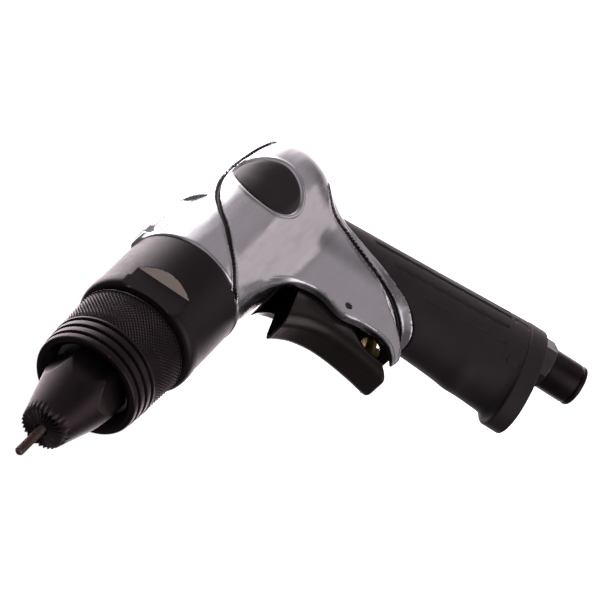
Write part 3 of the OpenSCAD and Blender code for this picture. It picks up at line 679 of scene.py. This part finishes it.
def casting():
    """Polished aluminium barrel, neck and trigger cheeks in one casting, with groove and badge recesses."""
    low, high = casting_lo.copy(), casting_hi.copy()
    low[2], high[0] = -95, REAR_X + 14
    step = 0.74
    p, quads = surface_net(casting_field, low, high, step)
    barrel_path = curve([on_barrel(x, a) for x, a in BARREL_GROOVE], 6)
    neck_path = curve(NECK_GROOVE, 6)
    for _ in range(6):
        g = slope(casting_field, neck_path)
        neck_path = neck_path - (casting_field(*neck_path.T) / (g ** 2).sum(1))[:, None] * g
    path = np.vstack([barrel_path, neck_path])

    def groove_distance(points):
        beside = points.copy()
        beside[:, 1] = -np.abs(beside[:, 1])
        neck_side = (points[:, 2] < -13) & (points[:, 0] > 178)
        skin = (np.hypot(points[:, 1], points[:, 2]) > SKIN_R) | neck_side
        return np.where(skin, np.minimum(path_distance(beside, path), path_distance(points, path)), 50)

    def badge_distance(points):
        side = (np.abs(points[:, 1]) > 14) & (np.hypot(points[:, 1], points[:, 2]) > SKIN_R)
        return np.where(side, badge_outline(points[:, 0], points[:, 2]), 50)

    def rim_distance(points):
        """Distance behind the edge of the cheek, where it opens for the trigger."""
        out = (np.abs(points[:, 1]) > 11.5) & (points[:, 2] < -23) & (points[:, 0] < 170)
        return np.where(out, np.abs(-cheek_outline(points[:, 0], points[:, 2]) - RIM_IN), 50)

    f, s = to_handle(p[:, 0], p[:, 2])
    near = (groove_distance(p) < 2.2) | (np.abs(badge_distance(p) - 0.6) < 2.2) | (rim_distance(p) < 1.8)
    near |= (np.abs(s - seam_s(f)) < 1.5) & (p[:, 2] < -10)
    near |= (p[:, 0] < CAST_X + 1.5) & (np.hypot(p[:, 1], p[:, 2]) > 26)
    p, faces = refine(p, quads, near)
    for _ in range(2):
        g = slope(casting_field, p)
        p = p - (casting_field(*p.T) / np.maximum((g ** 2).sum(1), 0.2))[:, None] * g
    normal = unit(slope(casting_field, p, 0.2))
    badge = badge_distance(p)
    recess = -BADGE_DEEP * np.clip(0.6 - badge / 0.8, 0, 1)
    lip = BADGE_LIP * np.exp(-((badge - 1.3) / 0.8) ** 2)
    bead = RIM_BEAD * np.exp(-(rim_distance(p) / 0.5) ** 2) * np.clip((-23 - p[:, 2]) / 3, 0, 1)
    groove = groove_distance(p)
    crest = GROOVE_CREST * np.exp(-((groove - 0.65 * GROOVE_W) / 0.45) ** 2)
    move = dent(groove, GROOVE_W, GROOVE_DEEP) + crest + recess + lip + bead
    piece = add_mesh("aluminium_casting", p + normal * move[:, None], faces, "housing", "cast_aluminium",
                     "motor_housing")

    # Faces inside the trigger cavity get the matte black recess finish as painted shade.
    def cavity_painted_shade(x, y, z):
        return (cavity_outline(x, z) < 1.0) & (np.abs(y) < CAVITY_HALF_W + 0.3) & (z < -29)

    # Faces along the groove get the dark steel finish as painted shade in the groove.
    def groove_painted_shade(x, y, z):
        return (groove_distance(np.stack([x, y, z], 1)) < 1.75) & (casting_field(x, y, z) < -0.15)

    paint(piece, "recess_black", cavity_painted_shade)
    paint(piece, "dark_steel", groove_painted_shade)


def badges():
    """Blank glossy name plates that follow the barrel."""
    steps = [(0.2, 0.06), (0.5, 0.06), (0.8, 0.05), (0.93, 0.02), (0.965, -0.05), (0.975, -0.3),
             (0.9, -0.7), (0.5, -0.7), (0.2, -0.7)]
    centre = badge_ring.mean(0)
    for side, name in ((-1, "badge_left"), (1, "badge_right")):
        rows = []
        for scale, lift in steps:
            ring = centre + (badge_ring - centre) * scale
            r = BARREL_R - 0.25 + lift
            rows.append(np.stack([ring[:, 0], side * np.sqrt(r ** 2 - ring[:, 1] ** 2), ring[:, 1]], 1))
        add_mesh(name + "_plate", np.array(rows).reshape(-1, 3), ring_faces(len(rows), len(badge_ring), False),
                 "housing", "badge_plate", name)


# ---- Handle ----

# Grooves along the grip as (f, s) at both ends and depth, and the corners of the blank label field
GRIP_GROOVES = [(-18.5, 60, -19.5, 127, 0.6), (-8.6, 53.3, -14.2, 127, 0.95),
                (-1.2, 64.4, -5.3, 126, 0.9), (6.5, 83.6, 4.8, 126.4, 0.55)]
LABEL = [(-15, 129.8), (13, 130.4), (13.4, 137.2), (-15, 136.6)]
FLARE_S, FLARE_OUT = 134.8, 4.6
FINGER_STOP_S, FINGER_STOP_OUT = 116, 1.3


def rounded_outline(corners, radius):
    """Closed outline with its corners turned into arcs."""
    ring = [corners[-1], *corners, corners[0]]
    path = rounded([(*corner, radius) for corner in ring], 6)[1:-1]
    return np.vstack([path, path[:1]])


def grip():
    """Composite grip sleeve: elliptical, with long grooves, a blank label outline and a flared foot."""
    count = 320
    rings = 210
    around = angles(count)
    s0 = np.full(count, 55.0)
    for _ in range(12):
        s0 = 0.5 * s0 + 0.5 * (seam_s(handle_size(s0)[0] * np.cos(around)) + 0.45)
    outer = []
    for t in np.linspace(0, 1, rings):
        s = s0 + (BASE_S - s0) * t
        depth, width = handle_size(s)
        front = np.clip(np.cos(around), 0, 1)
        foot = np.clip((s - FLARE_S) / (BASE_S - FLARE_S), 0, 1)
        flare = FLARE_OUT * (1 - np.sqrt(1 - foot ** 2)) * front ** 1.2
        bump = FINGER_STOP_OUT * np.exp(-((s - FINGER_STOP_S) / 5.0) ** 2) * front ** 3
        soft = -0.35 * np.clip(1 - t * rings / 3, 0, 1)
        grow = flare + bump + soft
        outer.append(np.stack([(depth + grow) * np.cos(around), (width + 0.25 * grow) * np.sin(around), s], 1))
    outer = np.array(outer)
    flat = outer.reshape(-1, 3)
    side = flat.copy()
    side[:, 1] = np.abs(side[:, 1])
    move = np.zeros(len(flat))

    def on_side(f, s):
        depth, width = handle_size(s)
        return f, width * math.sqrt(max(0, 1 - (f / depth) ** 2)), s

    for f0, sa, f1, sb, depth in GRIP_GROOVES:
        path = np.array([on_side(f0 + (f1 - f0) * t, sa + (sb - sa) * t) for t in np.linspace(0, 1, 12)])
        move += dent(path_distance(side, path), 2.4, depth)
    label = np.array([on_side(f, s) for f, s in rounded_outline(LABEL, 2.0)])
    move += dent(path_distance(side, label), 1.2, 0.45)
    outward = np.zeros_like(flat)
    outward[:, 0] = flat[:, 0] / handle_size(flat[:, 2])[0] ** 2
    outward[:, 1] = flat[:, 1] / handle_size(flat[:, 2])[1] ** 2
    flat = flat + unit(outward) * move[:, None]
    inner = outer[[-1, rings // 2, 0]].copy()
    inner[:, :, 0] *= 0.84
    inner[:, :, 1] *= 0.82
    inner[0, :, 2] = BASE_S
    rows = np.vstack([flat, inner.reshape(-1, 3)])
    add_mesh("moulded_grip", from_handle(*rows.T), ring_faces(rings + 3, count, True), "housing",
             "black_grip", "grip_sleeve")


def end_cap_field(x, y, z):
    """Flared foot with the inlet's hole, a sunk face and three exhaust holes."""
    f, s = to_handle(x, z)
    depth, width = handle_size(BASE_S)
    ahead = np.where(f > 0, f * depth / (depth + 5.2), f)
    ring = (np.hypot(ahead / (depth + 0.2), y / (width + 0.4)) - 1) * width
    body = slab(ring, np.abs(s - (BASE_S + 0.2 + CAP_S) / 2), (CAP_S - BASE_S - 0.2) / 2, 0.6)
    body = np.maximum(body, -(np.hypot(f + INLET_BACK, y) - 8.4))
    recess = np.maximum((np.hypot((f - 8) / 0.62, y) - 15.5) * 0.7, s - (CAP_S - 1.6))
    body = np.maximum(body, -recess)
    for k in (-1, 0, 1):
        body = smooth_max(body, -(np.hypot(f - 13, y - 8.5 * k) - 2.4), 0.5)
    return body


def end_cap():
    low, high = span("grip_end_cap")
    p, quads = surface_net(end_cap_field, low - 1, high + 1, 0.5)
    add_mesh("flared_end_cap", p, quads.tolist(), "housing", "black_grip", "grip_end_cap")


def handle_lathe(name, corners, count, slot, *replaced, shape=None):
    """Solid of revolution about the inlet's axis: corners are (s, radius, rounding)."""
    profile = rounded(corners)
    around = angles(count)
    s = profile[:, :1]
    r = np.repeat(profile[:, 1:], count, 1)
    if shape:
        r = shape(s, r, around)
    points = from_handle(r * np.cos(around) - INLET_BACK, r * np.sin(around), np.broadcast_to(s, r.shape))
    add_mesh(name, points.reshape(-1, 3), ring_faces(len(profile), count, True), "housing", slot, *replaced)


def inlet_fittings():
    """Hexagon bushing under the grip and the round connector with the air thread."""
    hex_lo, hex_hi = CAP_S + 0.2, CAP_S + 9.4

    def hexagon(s, r, around):
        return np.where(r > 9.5, np.minimum(r, polygon_radius(around, 21.8, 6, 0)), r)

    handle_lathe("inlet_hexagon",
                 [(120, 4.5, 0), (120, 8.1, 0.3), (hex_lo, 8.1, 0), (hex_lo, 11.2, 0.2),
                  (hex_lo + 0.9, 12.5, 0.3), (hex_lo + 1.5, 12.7, 0), (hex_hi - 1.5, 12.7, 0),
                  (hex_hi - 0.9, 12.5, 0.3), (hex_hi, 11.0, 0.2), (hex_hi, 7.6, 0),
                  (CAP_S + 15, 7.6, 0), (CAP_S + 15, 4.5, 0)],
                 96, "dark_steel", "inlet_bushing", shape=hexagon)
    start, end, r, crest_r, root_r, pitch = CAP_S + 9.5, inlet_s + 6.4, 10.2, 5.75, 6.3, 1.337
    thread = []
    for k in range(8):
        s = end - 1.6 - k * pitch
        thread += [(s, crest_r, 0), (s - 0.6, root_r, 0)]
    handle_lathe("inlet_cylinder",
                 [(start, 7.7, 0), (start, r - 0.3, 0.2), (start + 0.5, r, 0.3), (end - 3.6, r, 0.3),
                  (end - 3.3, r - 0.7, 0.15), (end - 2.6, r - 0.7, 0.15), (end - 2.3, r, 0.3),
                  (end - 0.7, r, 0.5), (end, r - 0.8, 0.3), (end, 6.7, 0.2), (end - 0.9, crest_r, 0),
                  *thread, (end - 12, crest_r, 0), (end - 12, 7.7, 0)],
                 96, "black_oxide_steel", "inlet_connector")


# ---- Trigger ----

# Side outline of the lever as (f, s); its top is cut off by a plane at LEVER_TOP_S
LEVER = [(64, 16), (56.5, 27.5), (54, 31.5), (51.4, 37), (49.9, 43.5), (49.4, 50), (50.2, 58.5),
         (52.2, 69), (54.6, 78), (54.3, 80.6), (52, 81.2), (48, 79.5), (44.2, 76.5), (43.2, 72), (41.5, 66),
         (36, 60), (31.5, 55), (30, 49.9), (30.4, 44), (31, 39), (30.5, 34.5), (29.5, 30), (29, 26), (29, 16)]
LEVER_TOP_S, LEVER_TOP_SLOPE, LEVER_WALL, LEVER_HALF_W = 26.65, 0.025, 1.4, 10.5
lever_outline = outline_table(curve(LEVER, 6, closed=True), 8, 0.3)


def lever_skin(f, y, s):
    """Outside of the lever before it is hollowed."""
    return slab(lever_outline(f, s), np.abs(y), LEVER_HALF_W, 6.0)


def lever_field(x, y, z):
    f, s = to_handle(x, z)
    body = lever_skin(f, y, s)
    body = np.maximum(body, LEVER_TOP_S - s - LEVER_TOP_SLOPE * (f - 46))
    inner = np.minimum(lever_outline(f, s), lever_outline(f + 5, s)) + LEVER_WALL
    hollow = slab(inner, np.abs(y), LEVER_HALF_W - LEVER_WALL, 4.6)
    body = np.maximum(body, -np.maximum(hollow, s - 41))
    return np.maximum(body, 2.06 - np.hypot(x - PIN_X, z - PIN_Z))


def trigger():
    low, high = span("trigger")
    p, quads = surface_net(lever_field, low - 3, high + 3, 0.5)
    piece = add_mesh("rocker_trigger", p, quads.tolist(), "trigger", "black_lever", "trigger")

    # Faces inside the hollow lever get the matte black recess finish as painted shade.
    def inside(x, y, z):
        f, s = to_handle(x, z)
        return lever_skin(f, y, s) < -0.3

    paint(piece, "recess_black", inside)


mandrel()
anvil()
sleeve()
front_housing()
casting()
badges()
grip()
end_cap()
inlet_fittings()
trigger()

# ---- Stage, lights and camera ----

CAMERA_AT = Vector((-0.942, -1.1336, 0.0))
CAMERA_RIGHT = Vector((0.49564, -0.50773, -0.70466))
CAMERA_UP = Vector((0.51798, -0.47845, 0.70907))
FOCAL_MM = 210


def camera():
    """Camera at the photograph's angle; returns its right, up and back directions."""
    data = bpy.data.cameras.new("camera")
    data.lens = FOCAL_MM
    data.sensor_width = 36
    data.clip_start = 0.05
    data.clip_end = 50
    eye = bpy.data.objects.new("camera", data)
    right = CAMERA_RIGHT.normalized()
    back = right.cross(CAMERA_UP).normalized()
    up = back.cross(right)
    eye.matrix_world = Matrix((
        (right.x, up.x, back.x, CAMERA_AT.x), (right.y, up.y, back.y, CAMERA_AT.y),
        (right.z, up.z, back.z, CAMERA_AT.z), (0, 0, 0, 1)))
    bpy.context.scene.collection.objects.link(eye)
    bpy.context.scene.camera = eye
    return right, up, back


def floor():
    """Plain white floor just under the lowest point of the tool."""
    half = 6
    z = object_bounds()[0][2] - 0.0005
    mesh = bpy.data.meshes.new("floor")
    mesh.from_pydata([(-half, -half, z), (half, -half, z), (half, half, z), (-half, half, z)], [],
                     [(0, 1, 2, 3)])
    obj = bpy.data.objects.new("floor", mesh)
    bpy.context.scene.collection.objects.link(obj)
    mat = bpy.data.materials.new("floor")
    mat.use_nodes = True
    shader = mat.node_tree.nodes["Principled BSDF"]
    shader.inputs["Base Color"].default_value = (0.9, 0.9, 0.9, 1)
    shader.inputs["Roughness"].default_value = 0.9
    shader.inputs["Emission Color"].default_value = (1, 1, 1, 1)
    shader.inputs["Emission Strength"].default_value = 1.0
    mesh.materials.append(mat)
    obj.visible_glossy = False
    obj.visible_diffuse = False
    obj.visible_shadow = False
    obj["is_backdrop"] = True


def tent(right, up, back):
    """Light tent: a big soft box above and behind, strips on the right and a dark camera side."""
    world = bpy.data.worlds.new("tent")
    bpy.context.scene.world = world
    world.use_nodes = True
    nodes, links = world.node_tree.nodes, world.node_tree.links
    nodes.clear()
    place = nodes.new("ShaderNodeTexCoord")

    def math_node(operation, a, b):
        node = nodes.new("ShaderNodeMath")
        node.operation = operation
        for socket, value in ((node.inputs[0], a), (node.inputs[1], b)):
            if isinstance(value, float):
                socket.default_value = value
            else:
                links.new(value, socket)
        return node.outputs[0]

    def glow(direction, start, end, level, power):
        """Light that grows with the cosine to a direction, from start to end."""
        dot = nodes.new("ShaderNodeVectorMath")
        dot.operation = "DOT_PRODUCT"
        links.new(place.outputs["Generated"], dot.inputs[0])
        dot.inputs[1].default_value = direction.normalized()
        ramp = nodes.new("ShaderNodeMapRange")
        for key, value in (("From Min", start), ("From Max", end)):
            ramp.inputs[key].default_value = value
        links.new(dot.outputs["Value"], ramp.inputs["Value"])
        return math_node("MULTIPLY", math_node("POWER", ramp.outputs["Result"], power), level)

    strength = glow(up * 0.72 - right * 0.25 - back * 0.65, 0.3, 1.0, 2.9, 4.0)
    for lamp in (
            (-back, 0.55, 0.97, 2.2, 2.0),
            (up * 0.45 + back * 0.9 - right * 0.2, 0.7, 1.0, 0.25, 1.0),
            (right * 0.35 - up * 0.3 + back * 0.88, 0.9, 0.98, 0.16, 1.0),
            (right * 0.78 - up * 0.46 + back * 0.415, 0.8, 0.97, 1.3, 1.0),
            (right * 0.73 + up * 0.685, 0.85, 1.0, 0.24, 1.0)):
        strength = math_node("ADD", strength, glow(*lamp))
    strip = glow(right * 0.96 + up * 0.17 - back * 0.2, 0.962, 0.972, 1.0, 1.0)
    thin_strip = glow(right * 0.84 - up * 0.15 - back * 0.52, 0.982, 0.988, 0.7, 1.0)
    streaks = math_node("ADD", strip, thin_strip)
    strength = math_node("ADD", strength, math_node("MULTIPLY", streaks, 0.45))
    strength = math_node("ADD", strength, 0.1)
    tint = nodes.new("ShaderNodeMix")
    tint.data_type = "RGBA"
    tint.clamp_factor = True
    links.new(streaks, tint.inputs["Factor"])
    tint.inputs[6].default_value = (1.10, 0.93, 0.97, 1)
    tint.inputs[7].default_value = (1.14, 0.93, 0.95, 1)
    seen = nodes.new("ShaderNodeLightPath")
    choose = nodes.new("ShaderNodeMix")
    links.new(seen.outputs["Is Camera Ray"], choose.inputs["Factor"])
    links.new(strength, choose.inputs["A"])
    choose.inputs["B"].default_value = 1.0
    background = nodes.new("ShaderNodeBackground")
    shade = nodes.new("ShaderNodeMix")
    shade.data_type = "RGBA"
    links.new(seen.outputs["Is Camera Ray"], shade.inputs["Factor"])
    links.new(tint.outputs[2], shade.inputs[6])
    shade.inputs[7].default_value = (1, 1, 1, 1)
    links.new(shade.outputs[2], background.inputs["Color"])
    links.new(choose.outputs["Result"], background.inputs["Strength"])
    out = nodes.new("ShaderNodeOutputWorld")
    links.new(background.outputs["Background"], out.inputs["Surface"])


def area_light(name, towards, distance, size, power):
    """Soft box that shines on the middle of the tool."""
    target = Vector((0.12, 0, -0.02))
    data = bpy.data.lights.new(name, "AREA")
    data.shape = "RECTANGLE"
    data.size, data.size_y = size
    data.energy = power
    lamp = bpy.data.objects.new(name, data)
    lamp.location = target + towards.normalized() * distance
    lamp.rotation_euler = (lamp.location - target).to_track_quat("Z", "Y").to_euler()
    bpy.context.scene.collection.objects.link(lamp)


right, up, back = camera()
floor()
tent(right, up, back)
area_light("top_soft_box", up * 0.8 - right * 0.3 - back * 0.5, 1.0, (0.8, 0.5), 2)
bpy.context.scene.view_settings.view_transform = "Standard"
